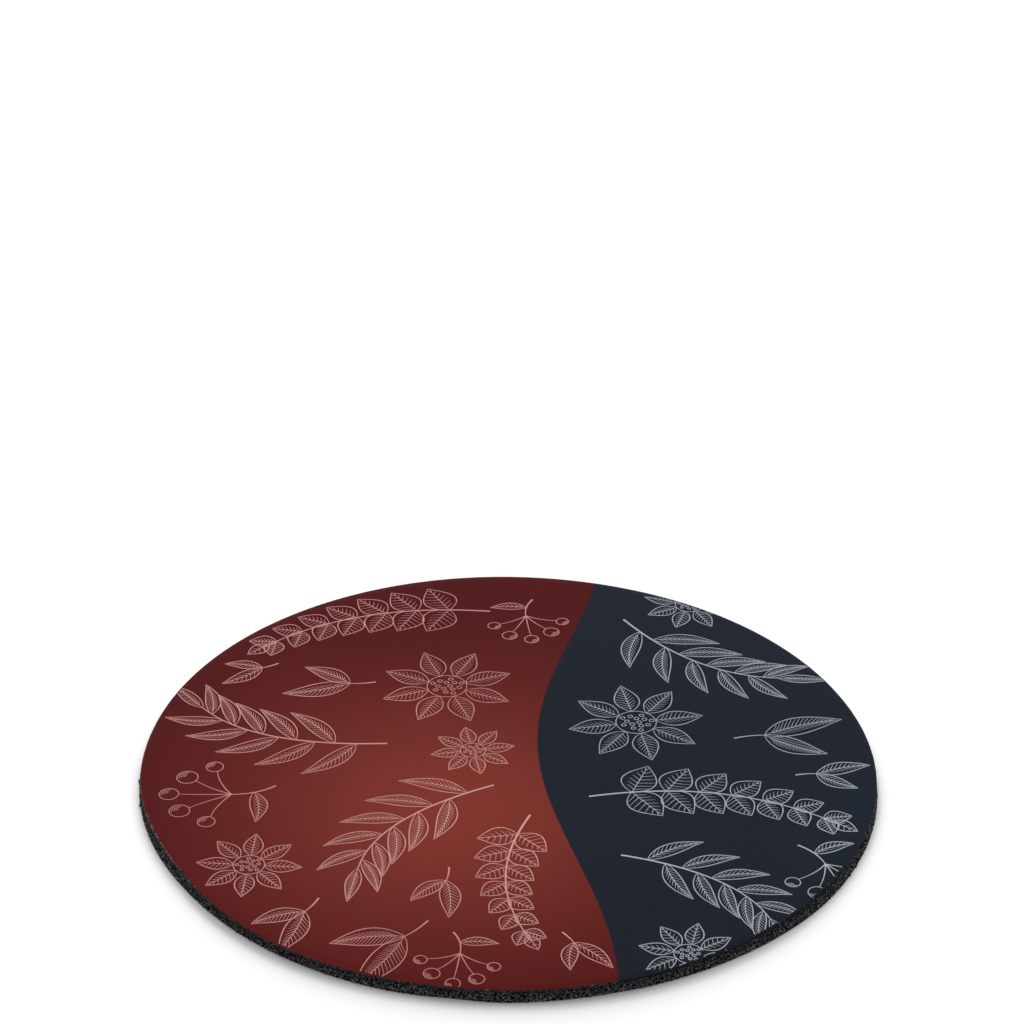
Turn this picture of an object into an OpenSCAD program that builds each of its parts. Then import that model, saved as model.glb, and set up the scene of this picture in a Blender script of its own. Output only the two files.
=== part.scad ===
// Round drink coaster, cut with a steel-rule die from one laminated sheet.
// A printed cloth face is bonded by an adhesive film to a base of sponge rubber.
// The die draws the layers down together at the rim. Its bevel and the give of the sponge
// leave a cut that leans, wider at the foot than at the face, and a little hollow.
// Frame: +Z up, origin at the middle of the underside that rests on the table.

/* [Disc] */
// Diameter of the die-cut wall, halfway up
coaster_d = 101.6; // [80:0.1:120]
// How much further out the cut is at the foot than at the face
cut_lean = 0.45; // [0.1:0.05:0.8]
// Width of the rim that the die draws down
draw_w = 1.5; // [0.8:0.1:4]
// Drop of the layers at the face's cut edge
draw_h = 0.12; // [0.05:0.01:0.3]

/* [Face cloth] */
// Thickness of the printed cloth
cloth_t = 0.25; // [0.2:0.05:0.8]
// Radius of the cloth's upper cut edge
cloth_edge_r = 0.1; // [0.05:0.05:0.15]

/* [Bond film] */
// Thickness of the adhesive film
film_t = 0.1; // [0.05:0.05:0.3]

/* [Sponge rubber base] */
// Thickness of the sponge rubber under the film
base_t = 1.35; // [1:0.05:5]
// Depth of the hollow that the die leaves in the cut wall
wall_hollow = 0.12; // [0.05:0.01:0.2]
// Radius of the base's lower cut edge
foot_edge_r = 0.15; // [0.05:0.05:0.2]

/* [Hidden] */
overrun = 1;
arc_steps = 360;
round_steps = 180;
// An edge arc's centre lies this share of its radius from both sides, which it meets at an angle.
edge_share = 0.9;
coaster_r = coaster_d / 2;
coaster_t = base_t + film_t + cloth_t;

// One leaning line cuts all three layers. Its normal points outwards.
function cut_r(z) = coaster_r + cut_lean * (coaster_t / 2 - z) / coaster_t;
cut_normal = [coaster_t, cut_lean] / norm([coaster_t, cut_lean]);
cut_along = [-cut_normal.y, cut_normal.x];
cut_reach = cut_normal * [cut_r(0), 0];
face_r = cut_r(coaster_t);

// The drawn-down layers bend about one centre, so they keep their thickness and nest.
base_bend_r = (pow(draw_w, 2) + pow(draw_h, 2)) / (2 * draw_h);
film_bend_r = base_bend_r + film_t;
cloth_bend_r = film_bend_r + cloth_t;
bend_centre = [face_r - draw_w, base_t - base_bend_r];
bend_reach = draw_w + cut_lean;

// The foot's edge arc joins the underside and the cut.
foot_inset = edge_share * foot_edge_r;
foot_x = (cut_reach - foot_inset - cut_normal.y * foot_inset) / cut_normal.x;
foot_centre = [foot_x, foot_inset];

// The hollow is an arc whose ends lie on the cut, over the foot's arc and beside the film.
wall_low = 2 * foot_edge_r;
wall_high = base_t - draw_h;
wall_mid = (wall_low + wall_high) / 2;
wall_half = (wall_high - wall_low) / (2 * cut_normal.x);
wall_arc_r = (pow(wall_half, 2) + pow(wall_hollow, 2)) / (2 * wall_hollow);
wall_arc_centre = [cut_r(wall_mid), wall_mid] + (wall_arc_r - wall_hollow) * cut_normal;

// The cloth's edge arc joins the drawn-down top and the cut.
edge_inset = edge_share * cloth_edge_r;
edge_side = cut_reach - edge_inset - cut_normal * bend_centre;
edge_rise = sqrt(pow(cloth_bend_r - edge_inset, 2) - pow(edge_side, 2));
edge_centre = bend_centre + edge_side * cut_normal + edge_rise * cut_along;
edge_up = (edge_centre - bend_centre) / norm(edge_centre - bend_centre);

// Half section of all that the die leaves inside its cut.
module inside_cut() {
    polygon([
        [0, -overrun],
        [cut_r(-overrun), -overrun],
        [cut_r(coaster_t + overrun), coaster_t + overrun],
        [0, coaster_t + overrun]
    ]);
}

// The corner outside a rounding arc, between the arc's two end directions.
module corner(centre, radius, first, last) {
    reach = radius + overrun;
    difference() {
        polygon([centre, centre + reach * first, centre + reach * (first + last), centre + reach * last]);
        translate(centre) circle(radius, $fn = arc_steps);
    }
}

// Half section of one layer: flat in the middle, then an arc about the bend centre.
module layer_section(inner_r, outer_r) {
    translate([0, bend_centre.y + inner_r])
        square([bend_centre.x, outer_r - inner_r]);
    intersection() {
        translate(bend_centre)
            intersection() {
                difference() {
                    circle(outer_r, $fn = arc_steps);
                    circle(inner_r, $fn = arc_steps);
                }
                square([bend_reach, outer_r]);
            }
        inside_cut();
    }
}

// Half section of the base: drawn-down top, leaning hollow wall and rounded foot.
module base_section() {
    difference() {
        union() {
            square([bend_centre.x, base_t]);
            intersection() {
                translate(bend_centre) circle(base_bend_r, $fn = arc_steps);
                translate([bend_centre.x, 0]) square([bend_reach, base_t]);
                inside_cut();
            }
        }
        translate(wall_arc_centre) circle(wall_arc_r, $fn = arc_steps);
        corner(foot_centre, foot_edge_r, [0, -1], cut_normal);
    }
}

module rubber_base() {
    color("#202022")
    rotate_extrude($fn = round_steps) base_section();
}

module bond_film() {
    color("#2c2c2e")
    rotate_extrude($fn = round_steps) layer_section(base_bend_r, film_bend_r);
}

module face_cloth() {
    color("#5f2222")
    rotate_extrude($fn = round_steps)
        difference() {
            layer_section(film_bend_r, cloth_bend_r);
            corner(edge_centre, cloth_edge_r, edge_up, cut_normal);
        }
}

rubber_base();
bond_film();
face_cloth();
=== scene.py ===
import bpy
import numpy as np
from mathutils import Matrix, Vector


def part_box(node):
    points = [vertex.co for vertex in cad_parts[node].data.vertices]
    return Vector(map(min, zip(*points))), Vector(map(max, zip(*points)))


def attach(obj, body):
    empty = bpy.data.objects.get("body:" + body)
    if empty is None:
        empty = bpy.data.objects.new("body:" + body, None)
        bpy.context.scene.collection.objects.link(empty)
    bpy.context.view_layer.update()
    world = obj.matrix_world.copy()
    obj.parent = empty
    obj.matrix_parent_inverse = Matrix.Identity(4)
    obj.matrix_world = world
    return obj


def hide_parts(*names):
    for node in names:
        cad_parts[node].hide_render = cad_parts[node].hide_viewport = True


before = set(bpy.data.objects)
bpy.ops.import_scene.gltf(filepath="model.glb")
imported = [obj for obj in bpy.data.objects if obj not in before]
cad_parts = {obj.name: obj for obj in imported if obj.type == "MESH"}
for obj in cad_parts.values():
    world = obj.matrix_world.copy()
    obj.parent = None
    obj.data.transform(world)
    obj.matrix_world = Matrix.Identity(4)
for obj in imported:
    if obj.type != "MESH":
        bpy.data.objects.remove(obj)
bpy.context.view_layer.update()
scene = bpy.context.scene
scene.view_settings.view_transform = "Standard"

# Camera: a long lens about half a metre off, in front of the disc and looking down on it.
# Its pitch, roll and aim were fitted to the disc's rim as the photograph shows it.
PHOTO_SIZE_PX = 1024
FOCAL_PX = 2986.5
SENSOR_MM = 36.0
camera_pitch = np.radians(29.234)
camera_roll = np.radians(0.547)
camera_aim = np.array([0.00014, 0.07367, 0.0])
camera_distance = 0.4795
camera_near = 0.01

ahead = np.array([0.0, np.cos(camera_pitch), -np.sin(camera_pitch)])
level = np.array([1.0, 0.0, 0.0])
upward = np.cross(level, ahead)
camera_axes = np.eye(4)
camera_axes[:3, 0] = np.cos(camera_roll) * level + np.sin(camera_roll) * upward
camera_axes[:3, 1] = np.cos(camera_roll) * upward - np.sin(camera_roll) * level
camera_axes[:3, 2] = -ahead
camera_axes[:3, 3] = camera_aim - camera_distance * ahead

lens = bpy.data.cameras.new("camera")
lens.sensor_width = SENSOR_MM
lens.lens = SENSOR_MM * FOCAL_PX / PHOTO_SIZE_PX
lens.clip_start = camera_near
camera = bpy.data.objects.new("camera", lens)
camera.matrix_world = Matrix(camera_axes.tolist())
scene.collection.objects.link(camera)
scene.camera = camera

# Stage: a white paper sweep under an even sky. Three soft boxes stand behind the disc, a tall one
# low in the middle and a wide one higher on each side, and throw the short soft shadow along its
# front edge. A box is its azimuth and elevation in degrees, width and height in metres and power.
SWEEP_HALF = 6.0
SWEEP_GAP = 0.00002
SKY_STRENGTH = 0.387
BOX_DISTANCE = 4.0
SOFT_BOXES = {
    "box_middle": (-2, 26, 1.6, 2.2, 135.5),
    "box_left": (-31, 46, 2.4, 1.9, 37.3),
    "box_right": (31, 46, 2.4, 1.9, 37.3),
}
WHITE = (1, 1, 1, 1)
BOUNCE_GREY = (0.06, 0.06, 0.06, 1)


def node(tree, kind, inputs=(), **settings):
    """Adds a shader node. inputs maps a socket's name or number to a value or to an output."""
    made = tree.nodes.new(kind)
    for name, value in settings.items():
        setattr(made, name, value)
    for key, value in dict(inputs).items():
        if isinstance(value, bpy.types.NodeSocket):
            tree.links.new(value, made.inputs[key])
        else:
            made.inputs[key].default_value = value
    return made


def math(tree, operation, *values, clamp=False):
    """The output of one Math node."""
    made = node(tree, "ShaderNodeMath", dict(enumerate(values)), operation=operation, use_clamp=clamp)
    return made.outputs[0]


def seen_directly(tree):
    """1 for camera, mirror and glass rays, 0 for the rays that light the object."""
    path = node(tree, "ShaderNodeLightPath").outputs
    mirrored = math(tree, "MAXIMUM", path["Is Glossy Ray"], path["Is Transmission Ray"])
    return math(tree, "MAXIMUM", path["Is Camera Ray"], mirrored)


def new_tree(name):
    """A new material and its node tree, emptied."""
    material = bpy.data.materials.new(name)
    material.use_nodes = True
    material.node_tree.nodes.clear()
    return material, material.node_tree


sky = bpy.data.worlds.new("sky")
sky.use_nodes = True
tree = sky.node_tree
tree.nodes.clear()
sky_gain = math(tree, "MULTIPLY_ADD", seen_directly(tree), 1 - SKY_STRENGTH, SKY_STRENGTH)
sky_light = node(tree, "ShaderNodeBackground", {"Color": WHITE, "Strength": sky_gain})
node(tree, "ShaderNodeOutputWorld", {"Surface": sky_light.outputs[0]})
scene.world = sky

sweep_paper, tree = new_tree("sweep_paper")
bounce = node(tree, "ShaderNodeBsdfDiffuse", {"Color": BOUNCE_GREY})
paper = node(tree, "ShaderNodeBsdfDiffuse", {"Color": WHITE})
paper_mix = {0: seen_directly(tree), 1: bounce.outputs[0], 2: paper.outputs[0]}
node(tree, "ShaderNodeOutputMaterial", {0: node(tree, "ShaderNodeMixShader", paper_mix).outputs[0]})

sweep_mesh = bpy.data.meshes.new("sweep")
sweep_corners = [(-1, -1), (1, -1), (1, 1), (-1, 1)]
sweep_points = [(SWEEP_HALF * x, SWEEP_HALF * y, -SWEEP_GAP) for x, y in sweep_corners]
sweep_mesh.from_pydata(sweep_points, [], [(0, 1, 2, 3)])
sweep_mesh.materials.append(sweep_paper)
sweep = bpy.data.objects.new("sweep", sweep_mesh)
scene.collection.objects.link(sweep)

for name, (azimuth, elevation, width, height, power) in SOFT_BOXES.items():
    azimuth, elevation = np.radians(azimuth), np.radians(elevation)
    bearing = np.array([np.sin(azimuth), np.cos(azimuth), 0.0])
    box_axes = np.eye(4)
    box_axes[:3, 2] = np.cos(elevation) * bearing + [0.0, 0.0, np.sin(elevation)]
    box_axes[:3, 1] = -np.sin(elevation) * bearing + [0.0, 0.0, np.cos(elevation)]
    box_axes[:3, 0] = np.cross(box_axes[:3, 1], box_axes[:3, 2])
    box_axes[:3, 3] = BOX_DISTANCE * box_axes[:3, 2]
    lamp = bpy.data.lights.new(name, "AREA")
    lamp.energy = power
    lamp.shape = "RECTANGLE"
    lamp.size = width
    lamp.size_y = height
    soft_box = bpy.data.objects.new(name, lamp)
    soft_box.matrix_world = Matrix(box_axes.tolist())
    soft_box.visible_camera = False
    soft_box.visible_glossy = False
    scene.collection.objects.link(soft_box)

# Rubber base: closed-cell sponge rubber, black, split to a thin sheet with a fine embossed skin underneath.
# The die's steel rule shears through it on a lean, leaves the wall hollow and opens the bubbles that it
# passes, so the wall is all pits with thin grey ridges between, and shade is painted into the pits' colour.
MM = 0.001
# Sizes from here on are in millimetres, apart from those that a material reads.
base_high = np.array(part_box("rubber_base")[1]) / MM
film_low, film_high = (np.array(corner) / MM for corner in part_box("bond_film"))
cloth_low, cloth_high = (np.array(corner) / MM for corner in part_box("face_cloth"))
disc_r = base_high[0]
draw_w = 1.5
foot_r = 0.15
wall_hollow = 0.12
base_columns = 3840
foot_rows = 4
wall_rows = 13
plain_cells = 20
emboss_cells = 160
emboss_pitch = 2.8
emboss_depth = 0.05
emboss_margin = 1.6
rng = np.random.default_rng(7)

# The cut is the line that passes the film's lower corner and takes a little off the foot's round
# edge, whose middle lies edge_share of its radius from the cut and from the underside.
edge_share = 0.9
foot_x = disc_r - foot_r
foot_z = edge_share * foot_r
foot_in = foot_x - film_high[0]
foot_down = film_low[2] - foot_z
lean_angle = np.arctan2(foot_in, foot_down) + np.arcsin(foot_z / np.hypot(foot_in, foot_down))
lean_out = np.array([np.cos(lean_angle), np.sin(lean_angle)])


def cut_r(z):
    """Radius of the leaning cut at a height."""
    return film_high[0] + np.tan(lean_angle) * (film_low[2] - z)


face_r = cut_r(cloth_high[2])
flat_r = face_r - draw_w
draw_h = base_high[2] - film_low[2]
base_bend_r = ((film_high[0] - flat_r) ** 2 + draw_h**2) / (2 * draw_h)
bend_z = base_high[2] - base_bend_r

# The sponge gives unevenly under the die, so the cut wanders in and out of that line, otherwise
# at the face than at the foot. A zone is its middle and its spread in degrees and its depth.
FACE_ZONES = (
    (-174, 9, 0.2),
    (-152, 9, -0.3),
    (-122, 10, 0.3),
    (-58, 7, -0.1),
    (-38, 16, -0.22),
    (0, 14, 0.25),
    (75, 16, -0.2),
)
FOOT_ZONES = (
    (-145, 9, -0.2),
    (-110, 7, 0.15),
    (-98, 2.5, -0.2),
    (-90, 4, 0.15),
    (-75, 3.5, -0.12),
    (-62, 9, -0.15),
    (-36, 7, 0.2),
    (-20, 8, 0.12),
    (110, 20, 0.15),
)
# Painted shade: some stretches of the wall are painted a little darker, most towards its sides where the
# soft boxes light it more, and one stretch is painted a little lighter.
PAINTED_SHADE_ZONES = ((-150, 13, 0.06), (-122, 7, -0.03), (-45, 10, 0.02), (-22, 11, 0.085))

# The bubbles come in two sizes. A size is its spacing, the range of its radius, and the range of
# how far a bubble's middle stands off the cut, as a share of its radius.
LARGE_CELLS = (0.27, (0.10, 0.17), (0.05, 0.75))
SMALL_CELLS = (0.18, (0.05, 0.095), (0.0, 0.7))
cell_relief = 0.6
# Painted shade: a pit is painted darker the deeper it is, and fully dark at cell_full deep. The lids get a
# plain share, skin_depth.
cell_full = 0.11
skin_depth = 0.4

# Between the bubbles the wall swells a little, and torn burrs stand out of it, most at the foot.
RIPPLE_SINES = 30
SWELL_WAVES = (200, 640)
wall_swell = 0.03
swell_lean = 9.0
BURR_WAVES = (80, 330)
burr_height = 0.14
burr_level = 0.9
burr_fade = 0.85
burr_lean = 4.0


def zone_sum(angle, zones):
    """Sum of smooth humps, each its depth times e to the power (cos(angle - middle) - 1) / spread^2."""
    humps = 0
    for middle, spread, depth in zones:
        humps = humps + depth * np.exp((np.cos(angle - np.radians(middle)) - 1) / np.radians(spread) ** 2)
    return humps


def wander(angle, z):
    """How far the cut stands out of its line: the zones of the foot shade into those of the face."""
    share = z / cloth_high[2]
    return (1 - share) * zone_sum(angle, FOOT_ZONES) + share * zone_sum(angle, FACE_ZONES)


def drawn_down(r, bend_r):
    """Height of a layer that is flat to flat_r and then follows an arc about the bend's centre."""
    return bend_z + np.sqrt(bend_r**2 - np.maximum(r - flat_r, 0) ** 2)


def disc_lid(cells):
    """A unit disc as a square grid. With a from -45 to 45 degrees and s, t = sqrt(2) sin(a), a point is
    x = s sqrt(1 - t^2 / 2), y = t sqrt(1 - s^2 / 2), which spaces the rim's points evenly."""
    side = np.sqrt(2) * np.sin(np.linspace(-np.pi / 4, np.pi / 4, cells + 1))
    s, t = np.meshgrid(side, side)
    points = np.stack([s * np.sqrt(1 - t**2 / 2), t * np.sqrt(1 - s**2 / 2)], -1).reshape(-1, 2)
    index = np.arange((cells + 1) ** 2).reshape(cells + 1, cells + 1)
    quads = np.stack([index[:-1, :-1], index[:-1, 1:], index[1:, 1:], index[1:, :-1]], -1)
    rim = np.concatenate([index[:-1, -1], index[-1, :0:-1], index[:0:-1, 0], index[0, :-1]])
    return points, quads.reshape(-1, 4), rim


def stitch(inner, outer):
    """Triangles from a coarse ring to a ring m times finer round it: the fine points fan from the
    nearer coarse point, and one triangle closes the middle of each coarse step."""
    m = len(outer) // len(inner)
    fine = np.concatenate([outer.reshape(-1, m), np.roll(outer, -m).reshape(-1, m)[:, :1]], 1)
    following = np.roll(inner, -1)
    nearer = [inner if j < m // 2 else following for j in range(m)]
    fans = [np.stack([nearer[j], fine[:, j], fine[:, j + 1]], -1) for j in range(m)]
    fans.append(np.stack([inner, fine[:, m // 2], following], -1))
    return np.concatenate(fans)


def ring_angles(columns):
    """Angles of the wall's columns, from the lid's first rim point at -45 degrees."""
    return -np.pi / 4 + 2 * np.pi * np.arange(columns) / columns


def around(angle, r, z):
    """Points at an angle, a radius and a height: x = r cos(angle), y = r sin(angle)."""
    return np.stack([r * np.cos(angle), r * np.sin(angle), z], -1)


def new_piece(name, points, faces, smooth=True):
    """A mesh piece from points in millimetres and arrays of faces."""
    mesh = bpy.data.meshes.new(name)
    mesh.from_pydata((points * MM).tolist(), [], [face for group in faces for face in group.tolist()])
    mesh.polygons.foreach_set("use_smooth", np.full(len(mesh.polygons), smooth))
    piece = bpy.data.objects.new(name, mesh)
    scene.collection.objects.link(piece)
    return piece


def round_shell(name, wall, low_lid, high_lid):
    """A closed round body: wall is rings (row, column, xyz) from the lower lid's rim to the upper one's,
    and a lid is (cells, radius, height of x and y) on the square grid of disc_lid."""
    rows, columns = wall.shape[:2]
    index = np.arange(rows * columns).reshape(rows, columns)
    turned = np.roll(index, -1, 1)
    points = [wall.reshape(-1, 3)]
    faces = [np.stack([index[:-1], turned[:-1], turned[1:], index[1:]], -1).reshape(-1, 4)]
    start = rows * columns
    for (cells, radius, height), ring, order in ((low_lid, index[0], -1), (high_lid, index[-1], 1)):
        flat, quads, rim = disc_lid(cells)
        flat = flat * radius
        points.append(np.column_stack([flat, height(flat[:, 0], flat[:, 1])]))
        faces += [(quads + start)[:, ::order], stitch(rim + start, ring)[:, ::order]]
        start += len(flat)
    return new_piece(name, np.concatenate(points), faces)


def plain_lid(bend_r, lift=0.0):
    """A coarse lid on the flat middle of a layer, lifted a little."""
    return plain_cells, flat_r, lambda x, y: drawn_down(np.hypot(x, y), bend_r) + lift


def mark_wall(piece, name, shares, lid_share):
    """Stores a share for each point of a shell's wall in an attribute, and lid_share for its lids."""
    values = np.full(len(piece.data.vertices), lid_share, np.float32)
    values[: shares.size] = shares.ravel()
    piece.data.attributes.new(name, "FLOAT", "POINT").data.foreach_set("value", values)


def opened_cells(s, v, girth, pitch, radii, stand_off):
    """Depth of a cut through bubbles on a jittered grid: the most of sqrt(r^2 - d^2) - w over the bubbles
    near a point, where d is the distance to a bubble's middle and w how far that stands off the cut."""
    count = int(round(girth / pitch))
    rows = int(np.ceil(v.max() / pitch)) + 3
    jitter = rng.random((2, count, rows))
    radius = rng.uniform(*radii, (count, rows))
    off = rng.uniform(*stand_off, (count, rows)) * radius
    at_s = np.floor(s * count / girth).astype(int)
    at_v = np.floor(v / pitch).astype(int)
    depth = np.zeros(np.broadcast(s, v).shape)
    for step_s in (-1, 0, 1):
        for step_v in (-1, 0, 1):
            i = (at_s + step_s) % count
            j = np.clip(at_v + step_v + 1, 0, rows - 1)
            away_s = s - (at_s + step_s + jitter[0, i, j]) * girth / count
            away_v = v - (at_v + step_v + jitter[1, i, j]) * pitch
            inside = radius[i, j] ** 2 - away_s**2 - away_v**2
            depth = np.maximum(depth, np.where(inside > 0, np.sqrt(np.abs(inside)) - off[i, j], 0))
    return depth


def ripple(angle, waves, amplitude, up=0.0, lean=0.0):
    """A closed random wave round the disc: the mean of sines with whole numbers of waves per turn, times
    the root of their count. They lean at random, by up to lean radians per millimetre up the wall."""
    every = (slice(None),) + (None,) * np.ndim(angle + up)
    counts = rng.integers(*waves, RIPPLE_SINES)[every]
    phases = rng.uniform(0, 2 * np.pi, RIPPLE_SINES)[every]
    leans = rng.uniform(-lean, lean, RIPPLE_SINES)[every]
    return amplitude * np.sin(counts * angle + leans * up + phases).mean(0) * np.sqrt(RIPPLE_SINES)


def embossed(x, y):
    """Height of the underside: lands at 0 and between them shallow square pillows, sin^2 of x times
    sin^2 of y, which fade out near the rim."""
    along = np.pi * x / emboss_pitch
    across = np.pi * y / emboss_pitch
    inward = np.clip((disc_r - np.hypot(x, y)) / emboss_margin - 1, 0, 1)
    return emboss_depth * inward * (np.sin(along) * np.sin(across)) ** 2


# The wall's section: the underside's last ring, the foot's arc, the hollow cut, and a ring on top.
foot_turn = np.linspace(-np.arcsin(edge_share), lean_angle + np.arccos(edge_share), foot_rows)
wall_share = np.linspace(-1, 1, wall_rows)
wall_foot = 2 * foot_r
wall_z = (film_low[2] + wall_foot) / 2 + wall_share * (film_low[2] - wall_foot) / 2
hollow = wall_hollow * (1 - wall_share**2)
inner_r = film_high[0] - 2 * foot_r
profile_r = np.concatenate([
    [disc_r - 3 * foot_r],
    foot_x + foot_r * np.cos(foot_turn),
    cut_r(wall_z) - hollow * lean_out[0],
    [inner_r],
])
profile_z = np.concatenate([
    [0.0],
    foot_z + foot_r * np.sin(foot_turn),
    wall_z - hollow * lean_out[1],
    [drawn_down(inner_r, base_bend_r)],
])
run = np.concatenate([[0.0], np.cumsum(np.hypot(np.diff(profile_r), np.diff(profile_z)))])
slope_r = np.gradient(profile_r)
slope_z = np.gradient(profile_z)
steep = np.hypot(slope_r, slope_z)
out_r = slope_z / steep
out_z = -slope_r / steep

# Cells, swells and burrs move the cut's points along the section's normal.
base_angle = ring_angles(base_columns)
girth = 2 * np.pi * disc_r
s_grid, v_grid = np.meshgrid(disc_r * (base_angle + np.pi / 4), run)
cells_large = opened_cells(s_grid, v_grid, girth, *LARGE_CELLS)
cells_small = opened_cells(s_grid, v_grid, girth, *SMALL_CELLS)
pits = np.maximum(cells_large, cells_small)
up = run[:, None]
on_cut = np.ones((len(run), 1))
on_cut[[0, -1]] = 0
burr_rows = burr_height * (1 - burr_fade * profile_z[:, None] / film_low[2])
swells = ripple(base_angle, SWELL_WAVES, wall_swell, up, swell_lean)
burrs = burr_rows * np.maximum(ripple(base_angle, BURR_WAVES, 1.0, up, burr_lean) - burr_level, 0)
proud = on_cut * (swells + burrs - cell_relief * pits)
wall_r = profile_r[:, None] + proud * out_r[:, None] + on_cut * wander(base_angle, profile_z[:, None])
wall_lift = drawn_down(film_high[0] + wander(base_angle, film_low[2]), base_bend_r) / film_low[2]
wall_h = np.maximum((profile_z[:, None] + proud * out_z[:, None]) * (1 + on_cut * (wall_lift - 1)), 0)
rubber_base = round_shell(
    "sponge_base",
    around(base_angle, wall_r, wall_h),
    (emboss_cells, disc_r - 4 * foot_r, embossed),
    plain_lid(base_bend_r),
)
# Painted shade: each point of the wall gets a share that darkens its colour, from how deep it lies in an
# opened cell, plus the painted zones.
painted_cell_shade = np.clip(pits / cell_full, 0, 1) + zone_sum(base_angle, PAINTED_SHADE_ZONES)
mark_wall(rubber_base, "painted_cell_shade", painted_cell_shade, skin_depth)

GRAIN_SCALE = 6400
PATCH_SCALE = 260
PORE_RELIEF = 0.00004
grain_weight = 4.5
patch_weight = 0.35
cell_shade_weight = 0.9
shade_start = -2.18
RUBBER_SHADES = (
    (0.0, (0.320, 0.320, 0.341, 1)),
    (0.22, (0.110, 0.110, 0.1177, 1)),
    (0.50, (0.027, 0.027, 0.02889, 1)),
    (1.0, (0.0006, 0.0006, 0.0007, 1)),
)


def object_place(tree):
    """The point's own coordinates on the object, in metres."""
    return node(tree, "ShaderNodeTexCoord").outputs["Object"]


def marked(tree, name):
    """The share that mark_wall stored under a name."""
    return node(tree, "ShaderNodeAttribute", attribute_name=name).outputs["Fac"]


def noise(tree, place, scale, detail, roughness=0.5):
    """A noise of scale waves per metre with some finer octaves, from 0 to 1 about a mean of 0.5."""
    sockets = {"Vector": place, "Scale": scale, "Detail": detail, "Roughness": roughness}
    return node(tree, "ShaderNodeTexNoise", sockets).outputs["Fac"]


def ramp(tree, share, *stops):
    """The colour at share on straight lines through the stops, each a position and a colour."""
    made = node(tree, "ShaderNodeValToRGB", {0: share})
    elements = made.color_ramp.elements
    for number, (position, colour) in enumerate((stops[0], stops[-1])):
        elements[number].position = position
        elements[number].color = colour
    for position, colour in stops[1:-1]:
        elements.new(position).color = colour
    return made.outputs[0]


def finished(tree, sockets):
    """Ends a material with one principled surface."""
    surface = node(tree, "ShaderNodeBsdfPrincipled", sockets)
    node(tree, "ShaderNodeOutputMaterial", {0: surface.outputs[0]})


sponge_rubber, tree = new_tree("sponge_rubber")
place = object_place(tree)
grain = noise(tree, place, GRAIN_SCALE, 3, 0.6)
patch = noise(tree, place, PATCH_SCALE, 2)
# Painted shade: the stored share darkens the rubber's colour in the pits and in the painted zones. Grain and
# patch add random tone.
painted_shade_level = math(tree, "MULTIPLY_ADD", marked(tree, "painted_cell_shade"), cell_shade_weight, shade_start)
worn_and_shaded = math(tree, "MULTIPLY_ADD", patch, patch_weight, painted_shade_level)
shade = ramp(tree, math(tree, "MULTIPLY_ADD", grain, grain_weight, worn_and_shaded), *RUBBER_SHADES)
pores = node(tree, "ShaderNodeBump", {"Strength": 0.35, "Distance": PORE_RELIEF, "Height": grain}).outputs[0]
finished(tree, {"Base Color": shade, "Roughness": 0.8, "Specular IOR Level": 0.01, "Normal": pores})
rubber_base.data.materials.append(sponge_rubber)
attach(rubber_base, "root")
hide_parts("rubber_base")

# Bond film: a hot-melt adhesive film, ironed between cloth and rubber. Only its cut edge
# shows, as a thin dark bead that the heat has pressed a little in and out.
film_columns = 960
film_bend_r = base_bend_r + film_high[2] - base_high[2]
film_gap = 0.004
film_inset = 0.06
BEAD_WAVES = (60, 400)
bead_w = 0.05
bead_vary = 0.02
# The bead's section goes from the lower lid to the upper one: how far out, in widths of the bead,
# and how far up, as a share of the film's thickness.
bead_share = np.array([-1.6, -0.4, 0.3, 0.3, -0.4, -1.6])
height_share = np.array([0.0, 0.0, 0.3, 0.7, 1.0, 1.0])

film_angle = ring_angles(film_columns)
film_cut_r = film_high[0] - film_inset + wander(film_angle, film_low[2])
rim_low = drawn_down(film_cut_r, base_bend_r) + film_gap
rim_high = drawn_down(film_cut_r, film_bend_r) - film_gap
squeeze = bead_w + ripple(film_angle, BEAD_WAVES, bead_vary)
bead_r = film_cut_r + bead_share[:, None] * squeeze
bead_z = rim_low + height_share[:, None] * (rim_high - rim_low)
bond_film = round_shell(
    "adhesive_film",
    around(film_angle, bead_r, bead_z),
    plain_lid(base_bend_r, film_gap),
    plain_lid(film_bend_r, -film_gap),
)

STREAK_SCALE = 900
GUM_DARK = (0.010, 0.010, 0.011, 1)
GUM_PALE = (0.035, 0.034, 0.034, 1)

adhesive, tree = new_tree("adhesive_film")
streaks = noise(tree, object_place(tree), STREAK_SCALE, 2)
gum = ramp(tree, streaks, (0.0, GUM_DARK), (1.0, GUM_PALE))
finished(tree, {"Base Color": gum, "Roughness": 0.7, "Specular IOR Level": 0.05})
bond_film.data.materials.append(adhesive)
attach(bond_film, "root")
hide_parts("bond_film")

# Face cloth: close-knit polyester, heat-pressed smooth and dyed by transfer in dark red and
# navy. The die draws its rim down and cuts it, so the cut shows the ends of the yarns.
cloth_columns = 3200
cloth_edge_r = 0.1
cloth_bend_r = film_bend_r + cloth_high[2] - film_high[2]
edge_rows = 5
edge_last_turn = 1.6
face_cells = 100
face_lid_r = flat_r - 1.0
swell_height = 0.006
swell_length = 17.0
swell_phases = (0.7, -0.4)
torn_at = np.radians(-158)
torn_spread = 0.02
nick_at = np.radians(-148)
nick_depth = 0.25
nick_half = 0.7
FRAY_RANGE = (-0.05, 0.01)
YARN_WAVES = (100, 700)
yarn_gain = 2
yarn_level = 1.3
torn_gain = 1.5


def face_height(x, y):
    """Top of the cloth: flat, drawn down at the rim, with a faint swell of two crossed sines."""
    along = np.sin(2 * np.pi * x / swell_length + swell_phases[0])
    across = np.sin(2 * np.pi * y / swell_length + swell_phases[1])
    return drawn_down(np.hypot(x, y), cloth_bend_r) + swell_height * (along * across - 1)


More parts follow.
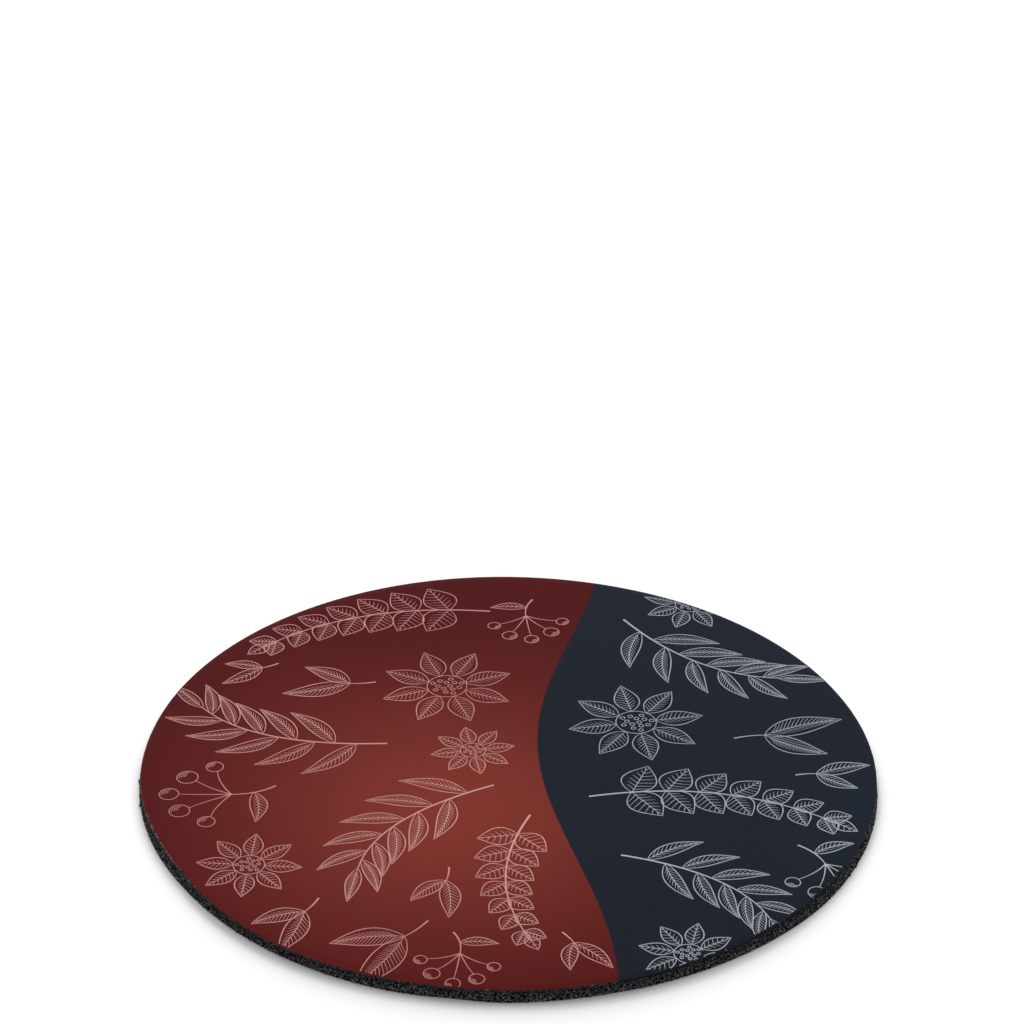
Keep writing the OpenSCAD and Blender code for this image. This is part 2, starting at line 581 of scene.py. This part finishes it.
# The cloth's section: a ring underneath, the cut, the round edge, and rings on the drawn-down top.
cloth_angle = ring_angles(cloth_columns)
cut_low = cloth_low[2]
edge_turn = np.linspace(lean_angle - np.arccos(edge_share), edge_last_turn, edge_rows)
edge_side = lean_out @ [film_high[0] - flat_r, film_low[2] - bend_z] - edge_share * cloth_edge_r
edge_rise = np.sqrt((cloth_bend_r - edge_share * cloth_edge_r) ** 2 - edge_side**2)
edge_mid_r = flat_r + edge_side * lean_out[0] - edge_rise * lean_out[1]
edge_mid_z = bend_z + edge_side * lean_out[1] + edge_rise * lean_out[0]
side_z = (cut_low + edge_mid_z) / 2
under_r = cloth_high[0] - 3 * cloth_edge_r
top_r = np.array([face_r - 2 * cloth_edge_r, face_r - 0.4 * draw_w, face_r - 0.7 * draw_w, flat_r])
rim_r = np.concatenate([
    [under_r, cut_r(cut_low), cut_r(side_z)],
    edge_mid_r + cloth_edge_r * np.cos(edge_turn),
    top_r,
])
rim_z = np.concatenate([
    [drawn_down(under_r, film_bend_r), cut_low, side_z],
    edge_mid_z + cloth_edge_r * np.sin(edge_turn),
    drawn_down(top_r, cloth_bend_r),
])

# Each row's share of the fray, the nick and the cut's wander, of the look of cut cloth, and of the
# pale yarn ends.
fray_rows = np.array([0, 0.6, 1.0, 1.0, 1.0, 0.8, 0.5, 0.3, 0, 0, 0, 0])[:, None]
nick_rows = np.array([0.6, 1, 1, 1, 1, 1, 1, 1, 0.8, 0, 0, 0])[:, None]
moved_rows = np.array([1, 1, 1, 1, 1, 1, 1, 1, 1, 0.6, 0.3, 0])[:, None]
sheared_rows = np.array([1, 1, 1, 1, 0.9, 0.5, 0.2, 0.05, 0, 0, 0, 0])[:, None]
pale_rows = np.array([0, 0, 0.2, 0.8, 1.0, 1.0, 0.6, 0.2, 0, 0, 0, 0])[:, None]

torn = np.exp((np.cos(cloth_angle - torn_at) - 1) / torn_spread)
nick = nick_depth * np.exp((np.cos(cloth_angle - nick_at) - 1) * 2 * (face_r / nick_half) ** 2)
fray = rng.uniform(*FRAY_RANGE, (len(rim_r), cloth_columns)) * (1 + torn)
moved = wander(cloth_angle, cloth_high[2])
cloth_r = rim_r[:, None] + fray_rows * fray + moved_rows * moved - nick_rows * nick
cloth_x = cloth_r * np.cos(cloth_angle)
cloth_y = cloth_r * np.sin(cloth_angle)
cloth_lift = drawn_down(face_r + moved, cloth_bend_r) - drawn_down(face_r, cloth_bend_r) - swell_height
on_top = (np.arange(len(rim_r)) >= len(rim_r) - len(top_r))[:, None]
cloth_z = np.where(on_top, face_height(cloth_x, cloth_y), rim_z[:, None] + cloth_lift)
face_cloth = round_shell(
    "printed_cloth",
    np.stack([cloth_x, cloth_y, cloth_z], -1),
    plain_lid(film_bend_r),
    (face_cells, face_lid_r, face_height),
)
yarn_ends = ripple(cloth_angle, YARN_WAVES, 1.0) + torn_gain * torn - yarn_level
mark_wall(face_cloth, "cut_share", np.broadcast_to(sheared_rows, cloth_r.shape), 0)
mark_wall(face_cloth, "yarn_share", pale_rows * np.clip(yarn_gain * yarn_ends, 0, 1), 0)

# The fields meet on a slow wave, x = middle + swing cos(2 pi (y - crest) / length). The red is
# brightest about one point and falls off from it as e to the power -(distance / reach)^2.
FIELD_MIDDLE = 0.009
FIELD_SWING = 0.005
FIELD_LENGTH = 0.110
FIELD_CREST = -0.050
FIELD_BLUR = 0.0001
GLOW_X = -0.008
GLOW_Y = -0.012
GLOW_REACH = 0.030
KNIT_PITCH = 0.00036
KNIT_RELIEF = 0.00001
DRIFT_SCALE = 28
KNIT_SCALE = 3600
STAIN_SCALE = 70
YARN_SCALE = 5200
RED_DEEP = (0.0637, 0.0040, 0.0055, 1)
RED_BRIGHT = (0.1930, 0.0310, 0.0216, 1)
NAVY_DEEP = (0.0080, 0.0106, 0.0165, 1)
NAVY_BRIGHT = (0.0084, 0.0140, 0.0243, 1)
CUT_GREY = (0.170, 0.168, 0.170, 1)
CUT_RED = (0.240, 0.045, 0.060, 1)
CUT_NAVY = (0.070, 0.070, 0.076, 1)
YARN_SHADE = (0.05, 0.05, 0.05, 1)
UNDYED = (0.40, 0.33, 0.32, 1)


def mix(tree, share, first, second, blend="MIX"):
    """Two colours mixed by a share."""
    sockets = {0: share, 6: first, 7: second}
    return node(tree, "ShaderNodeMix", sockets, data_type="RGBA", blend_type=blend).outputs[2]


def knit_bump(tree, place):
    """Fine knit relief: the product of two sine waves across the wales and the courses."""
    axes = node(tree, "ShaderNodeSeparateXYZ", {0: place}).outputs
    wales = math(tree, "SINE", math(tree, "MULTIPLY", axes[0], 2 * np.pi / KNIT_PITCH))
    courses = math(tree, "SINE", math(tree, "MULTIPLY", axes[1], 2 * np.pi / KNIT_PITCH))
    stitches = math(tree, "MULTIPLY", wales, courses)
    sockets = {"Strength": 0.25, "Distance": KNIT_RELIEF, "Height": stitches}
    return node(tree, "ShaderNodeBump", sockets).outputs[0]


def dyed(tree, place, deep, bright, level=0.25, drift=1.3, grain=0.3):
    """A dye between two shades: level sets the mean share of the bright one, which drifts slowly over the
    cloth and has a fine grain from the knit."""
    slow = noise(tree, place, DRIFT_SCALE, 1)
    fine = noise(tree, place, KNIT_SCALE, 2)
    evened = math(tree, "ADD", level, -(drift + grain) / 2)
    drifted = math(tree, "MULTIPLY_ADD", slow, drift, evened)
    return mix(tree, math(tree, "MULTIPLY_ADD", fine, grain, drifted, clamp=True), deep, bright)


def satin(tree, place, colour):
    """Ends a material as smooth pressed cloth, with a faint sheen and its knit."""
    finished(tree, {
        "Base Color": colour,
        "Roughness": 0.62,
        "Specular IOR Level": 0.04,
        "Sheen Weight": 0.02,
        "Sheen Roughness": 0.4,
        "Normal": knit_bump(tree, place),
    })


printed_cloth, tree = new_tree("printed_cloth")
place = object_place(tree)
axes = node(tree, "ShaderNodeSeparateXYZ", {0: place}).outputs
field_turn = 2 * np.pi / FIELD_LENGTH
wave = math(tree, "COSINE", math(tree, "MULTIPLY_ADD", axes[1], field_turn, -field_turn * FIELD_CREST))
border = math(tree, "MULTIPLY_ADD", wave, FIELD_SWING, FIELD_MIDDLE)
beyond = math(tree, "SUBTRACT", axes[0], border)
in_navy = math(tree, "MULTIPLY_ADD", beyond, 0.5 / FIELD_BLUR, 0.5, clamp=True)
glow_x = math(tree, "MULTIPLY_ADD", axes[0], 1 / GLOW_REACH, -GLOW_X / GLOW_REACH)
glow_y = math(tree, "MULTIPLY_ADD", axes[1], 1 / GLOW_REACH, -GLOW_Y / GLOW_REACH)
glow_far = math(tree, "MULTIPLY_ADD", glow_x, glow_x, math(tree, "MULTIPLY", glow_y, glow_y))
glow = math(tree, "EXPONENT", math(tree, "MULTIPLY", glow_far, -1.0))
red = dyed(tree, place, RED_DEEP, RED_BRIGHT, glow, drift=0.15, grain=0.08)
navy = dyed(tree, place, NAVY_DEEP, NAVY_BRIGHT)
fields = mix(tree, in_navy, red, navy)
stained = ramp(tree, noise(tree, place, STAIN_SCALE, 1), (0.60, CUT_GREY), (0.76, CUT_RED))
soaked = mix(tree, in_navy, stained, CUT_NAVY)
speckle = ramp(tree, noise(tree, place, YARN_SCALE, 2), (0.40, YARN_SHADE), (0.68, WHITE))
sheared = mix(tree, 1.0, soaked, speckle, "MULTIPLY")
cut_cloth = mix(tree, marked(tree, "cut_share"), fields, sheared)
satin(tree, place, mix(tree, marked(tree, "yarn_share"), cut_cloth, UNDYED))
face_cloth.data.materials.append(printed_cloth)
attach(face_cloth, "root")
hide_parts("face_cloth")

# Line print: sprigs, flowers and berries drawn in fine pale lines like an old engraving,
# pink on the red and grey on the navy. Each stroke is a thin ribbon of ink on the cloth.
LONG = 24
SHORT = 4
outline_w = 0.16
hatch_w = 0.10
hatch_gap = 0.55
hatch_first = 0.10
hatch_last = 0.84
hatch_slant = 0.13
HATCH_REACH = (0.92, -0.62)
rib_reach = 0.9
line_rise = 0.007
hatch_rise = 0.003
ink_step = 0.003
ink_sink = 0.012
golden_share = (np.sqrt(5) - 1) / 2
print_margin = 0.2
trim_steps = 8
# A motif is its long strokes and its hatches, each an array (stroke, step, x y and half width).
no_hatches = np.zeros((0, SHORT, 3))


def leaves(root, heading, length, width, bow):
    """Lens leaves with axis y = 4 b t (1 - t) and half width w / 2 sin(pi t^0.8), turned to their headings.
    Long strokes are the edges and the midrib; short ones slant from the midrib towards each edge."""
    root, heading, length, width, bow = (np.asarray(v, float) for v in (root, heading, length, width, bow))
    hatches = int(round((hatch_last - hatch_first) * length.mean() / hatch_gap))
    length, width, bow = length[:, None], width[:, None], bow[:, None]

    def across(t, share):
        """Points at t along each leaf, at a share of its half width from the axis."""
        return np.stack([length * t, 4 * bow * t * (1 - t) + share * width / 2 * np.sin(np.pi * t**0.8)], -1)

    def turned(points, weight, copies):
        """The points turned to each leaf's heading about its root, with the pen's weight."""
        cosine, sine = (np.repeat(f(heading), copies)[:, None] for f in (np.cos, np.sin))
        x, y = points[..., 0], points[..., 1]
        start = np.repeat(root, copies, 0)[:, None, :]
        spun = np.stack([cosine * x - sine * y, sine * x + cosine * y], -1)
        return np.concatenate([start + spun, weight], -1)

    t = np.linspace(0, 1, LONG)
    press = outline_w / 2 * (0.35 + 0.65 * np.sin(np.pi * (0.1 + 0.8 * t)))
    weight = np.broadcast_to(press[:, None], (len(heading), LONG, 1))
    edges = [turned(across(t, share), weight, 1) for share in (1, -1)]
    rib = turned(across(rib_reach * t, 0), 0.8 * weight, 1)
    q = np.tile(np.linspace(0, 1, SHORT), hatches)
    t = np.repeat(np.linspace(hatch_first, hatch_last, hatches), SHORT) + hatch_slant * q
    press = (hatch_w / 2 * (1 - 0.55 * q)).reshape(hatches, SHORT, 1)
    weight = np.tile(press, (len(heading), 1, 1))
    strokes = [across(t, side * q).reshape(-1, SHORT, 2) for side in HATCH_REACH]
    return np.concatenate(edges + [rib]), np.concatenate([turned(s, weight, hatches) for s in strokes])


def bent(start, pull, end, t):
    """Points and headings of the parabola from start to end that pull draws to its side."""
    start, pull, end = (np.asarray(p, float) for p in (start, pull, end))
    t = np.asarray(t, float)[:, None]
    points = (1 - t) ** 2 * start + 2 * t * (1 - t) * pull + t**2 * end
    ahead = (1 - t) * (pull - start) + t * (end - pull)
    return points, np.arctan2(ahead[:, 1], ahead[:, 0])


def stem(start, pull, end, width):
    """One long stroke along the parabola, thinner towards its end."""
    t = np.linspace(0, 1, LONG)
    return np.column_stack([bent(start, pull, end, t)[0], width / 2 * (1 - 0.5 * t)])[None]


def rings(centre, radius, shaded=False):
    """Circles, and if shaded three arcs low on the right side of each."""
    centre = np.asarray(centre, float)[:, None, :]
    radius = np.asarray(radius, float)[:, None, None]

    def arc(angles, share, width):
        """Strokes through the angles, at a share of each radius."""
        points = centre + share * radius * np.stack([np.cos(angles), np.sin(angles)], -1)
        return np.concatenate([points, np.full(points.shape[:2] + (1,), width / 2)], -1)

    whole = arc(np.linspace(0, 2 * np.pi, LONG), 1.0, 0.8 * outline_w)
    spans = ((0.78, 1.0), (0.56, 0.8), (0.34, 0.6)) if shaded else ()
    shading = [arc(np.linspace(-0.9 - span, -0.9 + span, LONG), share, hatch_w) for share, span in spans]
    return np.concatenate([whole] + shading), no_hatches


def gathered(*parts):
    """The strokes of several parts as one motif."""
    return tuple(np.concatenate(strokes) for strokes in zip(*parts))


def narrow_sprig(size):
    """A bowed stem with narrow leaves, left and right in turn, and one at its tip."""
    course = (0, 0), (0.5 * size, 0.2 * size), (0.8 * size, 0)
    t = np.linspace(0.12, 1.0, 11)
    points, heading = bent(*course, t)
    side = np.resize([1.0, -1.0], len(t))
    side[-1] = 0
    length = size * (0.31 - 0.09 * t)
    blades = leaves(points, heading + side * (0.85 - 0.3 * t), length, 0.27 * length, 0.07 * side * length)
    return gathered(blades, (stem(*course, 0.32), no_hatches))


def round_sprig(size):
    """A bowed stem with pairs of round leaves that shrink towards its tip."""
    course = (0, 0), (0.5 * size, -0.2 * size), (0.92 * size, 0.02 * size)
    t = np.linspace(0.16, 0.96, 7)
    points, heading = bent(*course, t)
    length = size * (0.205 - 0.10 * t)
    lean = 1.15 - 0.45 * t
    pairs = [leaves(points, heading + side * lean, length, 0.72 * length, 0 * length) for side in (1, -1)]
    last = length[-1:]
    tip = leaves(*bent(*course, [1.0]), last, 0.6 * last, 0 * last)
    return gathered(*pairs, tip, (stem(*course, 0.32), no_hatches))


def berry_twig(size):
    """A twig that forks to five berries, with one small leaf."""
    tips = size * np.array([[0.62, 0.42], [0.86, 0.20], [0.94, -0.10], [0.74, -0.36], [0.46, -0.50]])
    berry_r = size * np.array([0.085, 0.10, 0.095, 0.105, 0.085])
    fork = np.array([0.34 * size, 0.0])
    reach = np.hypot(*(tips - fork).T)
    ends = tips - (tips - fork) * (berry_r / reach)[:, None]
    stalks = [stem(fork, (fork + end) / 2 + [0.06 * size, 0], end, 0.18) for end in ends]
    stalks.append(stem((-0.1 * size, -0.08 * size), (0.1 * size, 0.04 * size), fork, 0.28))
    leaf = leaves([[0.12 * size, 0]], [1.5], [0.5 * size], [0.17 * size], [0.04 * size])
    return gathered(leaf, rings(tips, berry_r, shaded=True), (np.concatenate(stalks), no_hatches))


def flower(size):
    """Eight hatched petals round an eye of fourteen seeds, set on a golden spiral."""
    turn = 0.2 + 2 * np.pi * np.arange(8) / 8
    eye_r = 0.16 * size
    length = np.full(8, 0.38 * size)
    root = eye_r * np.stack([np.cos(turn), np.sin(turn)], -1)
    petals = leaves(root, turn, length, 0.52 * length, 0 * length)
    k = np.arange(14)
    golden = 2 * np.pi * golden_share * k
    seed_at = (0.8 * eye_r * np.sqrt((k + 0.5) / 14) * np.stack([np.cos(golden), np.sin(golden)])).T
    seeds = rings(seed_at, np.full(14, 0.018 * size))
    return gathered(petals, seeds, rings([[0, 0]], [eye_r]))


def leaf_pair(size):
    """Two broad leaves on one short stalk."""
    length = np.array([1.0, 0.8]) * size
    width = [0.34 * size, 0.3 * size]
    blades = leaves(np.zeros((2, 2)), [0.5, -0.35], length, width, [0.05 * size, -0.05 * size])
    stalk = stem((-0.35 * size, -0.12 * size), (-0.15 * size, -0.02 * size), (0, 0), 0.26)
    return gathered(blades, (stalk, no_hatches))


def placed(motif, x, y, turn, flip=1):
    """The motif, mirrored where flip is -1, turned by turn degrees and moved to x, y."""
    cosine, sine = np.cos(np.radians(turn)), np.sin(np.radians(turn))

    def carried(strokes):
        """One set of strokes, turned and moved."""
        u, v, weight = strokes[..., 0], flip * strokes[..., 1], strokes[..., 2]
        return np.stack([x + cosine * u - sine * v, y + sine * u + cosine * v, weight], -1)

    return tuple(carried(strokes) for strokes in motif)


def resampled(strokes, first, last, count):
    """The strokes between the point numbers first and last, with count points each."""
    at = first[:, None] + (last - first)[:, None] * np.linspace(0, 1, count)
    low = np.minimum(at.astype(int), strokes.shape[1] - 2)
    share = (at - low)[..., None]
    row = np.arange(len(strokes))[:, None]
    return (1 - share) * strokes[row, low] + share * strokes[row, low + 1]


def trimmed(strokes):
    """The strokes as far as the die leaves them: one that comes within print_margin of the cut keeps its
    first inner run, unless that is shorter than half a step."""
    count = strokes.shape[1]
    none = np.zeros(len(strokes), int)
    fine = resampled(strokes, none, none + count - 1, trim_steps * count)
    number = np.arange(trim_steps * count)
    cut = face_r + wander(np.arctan2(fine[..., 1], fine[..., 0]), cloth_high[2])
    inside = np.hypot(fine[..., 0], fine[..., 1]) < cut - print_margin
    first = inside.argmax(1)
    last = np.where((number > first[:, None]) & ~inside, number, trim_steps * count).min(1) - 1
    return resampled(fine, first, last, count)[inside.any(1) & (last - first > trim_steps // 2)]


def bar_faces(count, steps, corners):
    """Faces of bars, each a number of rings with some corners: the sides, the first ends, the last ends."""
    index = np.arange(count * steps * corners).reshape(count, steps, corners)
    turned = np.roll(index, -1, 2)
    sides = np.stack([index[:, :-1], index[:, 1:], turned[:, 1:], turned[:, :-1]], -1)
    return [sides.reshape(-1, 4), index[:, 0], index[:, -1, ::-1]]


def ribbons(strokes, rise):
    """Points and faces of ink ribbons: a flat bar of the stroke's weight, from ink_sink under the cloth's
    top to rise over it, carried along each stroke and closed at both ends, which meet on a ring. Golden
    shares of ink_step are added to the rise, so that strokes that cross don't share a plane."""
    path = strokes[..., :2]
    along = np.gradient(path, axis=1)
    closed = np.linalg.norm(path[:, 0] - path[:, -1], axis=-1) < 1e-6
    along[closed, 0] = along[closed, -1] = path[closed, 1] - path[closed, -2]
    along /= np.maximum(np.linalg.norm(along, axis=-1, keepdims=True), 1e-9)
    beside = np.stack([-along[..., 1], along[..., 0]], -1) * strokes[..., 2:]
    corners = np.stack([path + beside, path - beside, path - beside, path + beside], 2)
    top = rise + ink_step * (golden_share * np.arange(len(strokes)) % 1)
    base = np.full(len(strokes), -ink_sink)
    lift = np.stack([base, base, top, top], -1)[:, None]
    height = face_height(corners[..., 0], corners[..., 1]) + lift
    points = np.concatenate([corners, height[..., None]], -1)
    return points.reshape(-1, 3), bar_faces(*corners.shape[:3])


def printed_lines(name, motifs, colours):
    """One mesh of all the strokes of the motifs, with its ink."""
    long, short = gathered(*motifs)
    long_points, long_faces = ribbons(trimmed(long), line_rise)
    short_points, short_faces = ribbons(trimmed(short), hatch_rise)
    faces = long_faces + [group + len(long_points) for group in short_faces]
    piece = new_piece(name, np.concatenate([long_points, short_points]), faces, smooth=False)
    ink, tree = new_tree(name)
    place = object_place(tree)
    satin(tree, place, dyed(tree, place, *colours))
    piece.data.materials.append(ink)
    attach(piece, "root")
    return piece


lines_on_red = printed_lines(
    "print_lines_red",
    [
        placed(round_sprig(37), -3, 40, 196),
        placed(flower(18), -9, 19, 10),
        placed(narrow_sprig(35), -17, 4, 162),
        placed(berry_twig(14), -33, -8, 190),
        placed(flower(13), -34, -25, 30),
        placed(narrow_sprig(33), -2, -6, 228, -1),
        placed(leaf_pair(12), -13, -40, 210),
        placed(round_sprig(29), 3, -13, 268),
        placed(berry_twig(11), 2.5, 42.5, 268, -1),
        placed(leaf_pair(10), -23, 19.5, 168),
        placed(flower(11), -5, 2.5, 0),
        placed(leaf_pair(7), -36, 23.5, 190),
        placed(leaf_pair(7), 8.5, -41, 285),
        placed(berry_twig(10), -6, -40, -88),
        placed(leaf_pair(9), -26, -35, 222),
        placed(leaf_pair(8), -8, -28, 245),
    ],
    [(0.44, 0.200, 0.185, 1), (0.74, 0.420, 0.390, 1)],
)
lines_on_navy = printed_lines(
    "print_lines_navy",
    [
        placed(narrow_sprig(34), 17, 38, -36, -1),
        placed(flower(18), 18, 10, 0),
        placed(round_sprig(36), 11, -8.5, -8, -1),
        placed(leaf_pair(12), 36, 7, -8),
        placed(narrow_sprig(29), 15, -22, -36),
        placed(berry_twig(12), 40, -20, -62),
        placed(flower(12), 23, -43, 20),
        placed(flower(13), 27, 42.5, 15),
        placed(leaf_pair(8), 42.5, -2.5, -12),
    ],
    [(0.310, 0.330, 0.360, 1), (0.500, 0.525, 0.560, 1)],
)

# Cut yarn ends: fine polyester fibres that stand out of the cloth's cut where the die has
# torn rather than sheared them, and a few longer threads. They are undyed inside, so they show
# as pale flecks.
fibre_count = 340
torn_count = fibre_count // 4
thread_count = 9
fibre_w = 0.022
thread_w = 0.07
fibre_sides = 3
fibre_steps = 6
FIBRE_LENGTHS = (0.10, 0.38)
FIBRE_DROPS = (-0.7, 0.5)
THREAD_LENGTHS = (0.7, 1.3)
thread_out = 0.16
torn_reach = 0.2
root_rise = 0.03
root_sink = 0.05

fibre_turn = rng.uniform(0, 2 * np.pi, fibre_count)
fibre_turn[:torn_count] = rng.normal(torn_at, torn_reach, torn_count)
fibre_length = rng.uniform(*FIBRE_LENGTHS, fibre_count)
fibre_out = 0.45 * fibre_length
fibre_along = fibre_length * np.sin(rng.normal(0, 1.0, fibre_count))
fibre_drop = 0.4 * fibre_length * rng.uniform(*FIBRE_DROPS, fibre_count)
thread_length = rng.uniform(*THREAD_LENGTHS, thread_count)
fibre_turn[:thread_count] = rng.uniform(0, 2 * np.pi, thread_count)
fibre_turn[0] = nick_at
fibre_out[:thread_count] = thread_out
fibre_along[:thread_count] = 0.7 * thread_length
fibre_drop[:thread_count] = 0.6 * thread_length
fibre_root_z = rng.uniform(cut_low + root_rise, edge_mid_z, fibre_count)
fibre_root_r = cut_r(fibre_root_z) + wander(fibre_turn, cloth_high[2]) - root_sink

# With t from 0 at the root to 1, a fibre goes out by t (1.3 - 0.3 t), along the rim by t^1.3 and
# down by t^2 of its reach. A three-sided section, half as wide at the tip, is carried along it.
t = np.linspace(0, 1, fibre_steps)[None, :]
out = fibre_root_r[:, None] + fibre_out[:, None] * t * (1.3 - 0.3 * t)
drift = fibre_turn[:, None] + fibre_along[:, None] * t**1.3 / face_r
height = fibre_root_z[:, None] - fibre_drop[:, None] * t**2
spine = around(drift, out, height)
along = np.gradient(spine, axis=1)
along /= np.linalg.norm(along, axis=-1, keepdims=True)
first = np.cross(along, [0, 0, 1.0])
first /= np.linalg.norm(first, axis=-1, keepdims=True)
second = np.cross(first, along)
spin = 2 * np.pi * np.arange(fibre_sides) / fibre_sides
fibre_widths = np.where(np.arange(fibre_count) < thread_count, thread_w, fibre_w)
thin = (fibre_widths[:, None] / 2 * (1 - 0.5 * t))[..., None, None]
fibre_points = spine[:, :, None] + thin * (
    np.cos(spin)[:, None] * first[:, :, None] + np.sin(spin)[:, None] * second[:, :, None]
)
fibre_faces = bar_faces(fibre_count, fibre_steps, fibre_sides)
cut_fibres = new_piece("cut_fibres", fibre_points.reshape(-1, 3), fibre_faces)

TINT_SCALE = 400
YARN_DARK = (0.10, 0.08, 0.08, 1)
YARN_PALE = (0.60, 0.57, 0.56, 1)

raw_yarn, tree = new_tree("raw_yarn")
tint = noise(tree, object_place(tree), TINT_SCALE, 1)
yarn = ramp(tree, tint, (0.0, YARN_DARK), (1.0, YARN_PALE))
finished(tree, {"Base Color": yarn, "Roughness": 0.5, "Specular IOR Level": 0.2})
cut_fibres.data.materials.append(raw_yarn)
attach(cut_fibres, "root")
